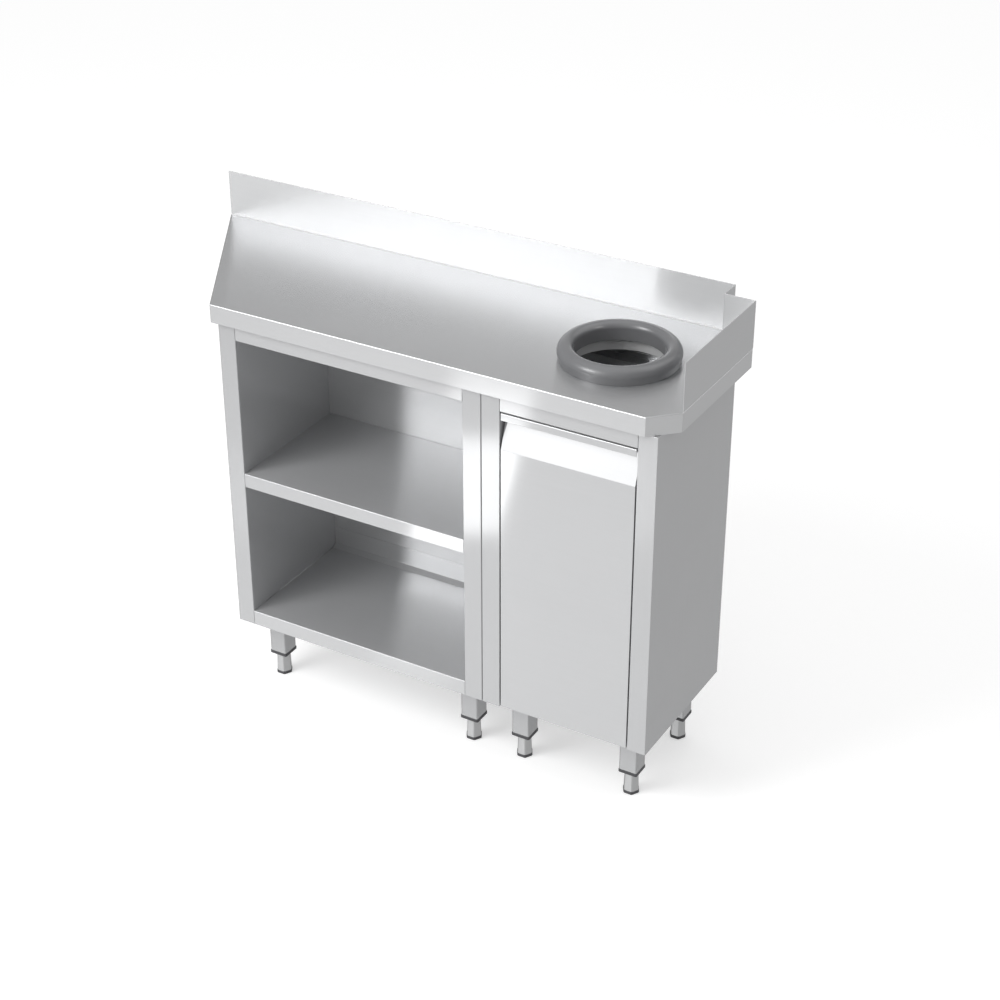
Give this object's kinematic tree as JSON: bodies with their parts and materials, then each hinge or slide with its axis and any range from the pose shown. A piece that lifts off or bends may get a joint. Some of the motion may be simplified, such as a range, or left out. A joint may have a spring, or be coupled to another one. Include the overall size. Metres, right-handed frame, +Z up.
{
  "type": "stainless steel kitchen work table",
  "caption": "Free-standing steel work table with mitred end, upstands, rubber-ringed waste chute, open shelf bays and a pull-out waste drawer.",
  "frame": {"origin": "centre of the bounding box at floor level, under the feet", "axes": "+X along the front towards the chute end, +Y from the front to the back upstand, +Z up"},
  "size_m": [1.264, 0.405, 1.005],
  "materials": {
    "worktop_steel": "satin brushed stainless sheet",
    "frame_steel": "mill finish stainless",
    "carcass_steel": "satin brushed stainless sheet",
    "drawer_steel": "satin brushed stainless sheet",
    "runner_steel": "bright zinc plated steel",
    "leg_steel": "satin stainless square tube",
    "foot_steel": "turned stainless hexagon",
    "fastener_steel": "plain stainless",
    "ring_rubber": "smooth satin moulded rubber",
    "foot_plastic": "moulded dark plastic",
    "bin_plastic": "moulded grey plastic"
  },
  "bodies": {
    "table": {"worktop": "worktop_steel", "back_upstand": "worktop_steel", "notch_upstand": "worktop_steel", "side_upstand": "worktop_steel", "chute_collar": "worktop_steel", "front_stiffener": "frame_steel", "rear_stiffener": "frame_steel", "chute_ring": "ring_rubber", "shelf_left_wall": "carcass_steel", "shelf_left_wall_lining": "carcass_steel", "shelf_right_wall": "carcass_steel", "shelf_right_wall_lining": "carcass_steel", "shelf_back_panel": "carcass_steel", "shelf_front_rail": "carcass_steel", "shelf_rear_rail": "carcass_steel", "middle_shelf": "carcass_steel", "bottom_shelf": "carcass_steel", "waste_left_wall": "carcass_steel", "waste_left_wall_lining": "carcass_steel", "waste_right_wall": "carcass_steel", "waste_right_wall_lining": "carcass_steel", "waste_back_panel": "carcass_steel", "waste_front_rail": "carcass_steel", "waste_rear_rail": "carcass_steel", "waste_floor": "carcass_steel", "left_runner_rail": "runner_steel", "right_runner_rail": "runner_steel", "shelf_module_legs": "leg_steel", "waste_module_legs": "leg_steel", "leg_inserts": "foot_plastic", "module_bolts": "fastener_steel", "stiffener_screws": "fastener_steel"},
    "drawer": {"drawer_front": "drawer_steel", "drawer_front_lining": "drawer_steel", "drawer_tray": "drawer_steel", "drawer_brace_left": "drawer_steel", "drawer_brace_right": "drawer_steel", "left_runner_slide": "runner_steel", "right_runner_slide": "runner_steel", "brace_rivets": "fastener_steel"},
    "runner_middle_left": {"left_runner_middle": "runner_steel"},
    "runner_middle_right": {"right_runner_middle": "runner_steel"},
    "bin": {"waste_bin": "bin_plastic"},
    "foot_1": {"foot_1": "foot_steel", "foot_pad_1": "foot_plastic"},
    "foot_2": {"foot_2": "foot_steel", "foot_pad_2": "foot_plastic"},
    "foot_3": {"foot_3": "foot_steel", "foot_pad_3": "foot_plastic"},
    "foot_4": {"foot_4": "foot_steel", "foot_pad_4": "foot_plastic"},
    "foot_5": {"foot_5": "foot_steel", "foot_pad_5": "foot_plastic"},
    "foot_6": {"foot_6": "foot_steel", "foot_pad_6": "foot_plastic"},
    "foot_7": {"foot_7": "foot_steel", "foot_pad_7": "foot_plastic"},
    "foot_8": {"foot_8": "foot_steel", "foot_pad_8": "foot_plastic"}
  },
  "joints": [
    {"name": "drawer_slide", "type": "slide", "parent": "table", "child": "drawer", "axis": [0, -1, 0], "range_m": [0, 0.275]},
    {"name": "left_runner_slide", "type": "slide", "parent": "table", "child": "runner_middle_left", "axis": [0, -1, 0], "range_m": [0, 0.1375]},
    {"name": "right_runner_slide", "type": "slide", "parent": "table", "child": "runner_middle_right", "axis": [0, -1, 0], "range_m": [0, 0.1375]},
    {"name": "bin_lift", "type": "slide", "parent": "drawer", "child": "bin", "axis": [0, 0, 1], "range_m": [0, 0.075]},
    {"name": "foot_1_adjust", "type": "slide", "parent": "table", "child": "foot_1", "axis": [0, 0, -1], "range_m": [0, 0.02]},
    {"name": "foot_2_adjust", "type": "slide", "parent": "table", "child": "foot_2", "axis": [0, 0, -1], "range_m": [0, 0.02]},
    {"name": "foot_3_adjust", "type": "slide", "parent": "table", "child": "foot_3", "axis": [0, 0, -1], "range_m": [0, 0.02]},
    {"name": "foot_4_adjust", "type": "slide", "parent": "table", "child": "foot_4", "axis": [0, 0, -1], "range_m": [0, 0.02]},
    {"name": "foot_5_adjust", "type": "slide", "parent": "table", "child": "foot_5", "axis": [0, 0, -1], "range_m": [0, 0.02]},
    {"name": "foot_6_adjust", "type": "slide", "parent": "table", "child": "foot_6", "axis": [0, 0, -1], "range_m": [0, 0.02]},
    {"name": "foot_7_adjust", "type": "slide", "parent": "table", "child": "foot_7", "axis": [0, 0, -1], "range_m": [0, 0.02]},
    {"name": "foot_8_adjust", "type": "slide", "parent": "table", "child": "foot_8", "axis": [0, 0, -1], "range_m": [0, 0.02]}
  ],
  "couplings": [
    {"joint": "left_runner_slide", "follows": "drawer_slide", "ratio": 0.5},
    {"joint": "right_runner_slide", "follows": "drawer_slide", "ratio": 0.5}
  ]
}
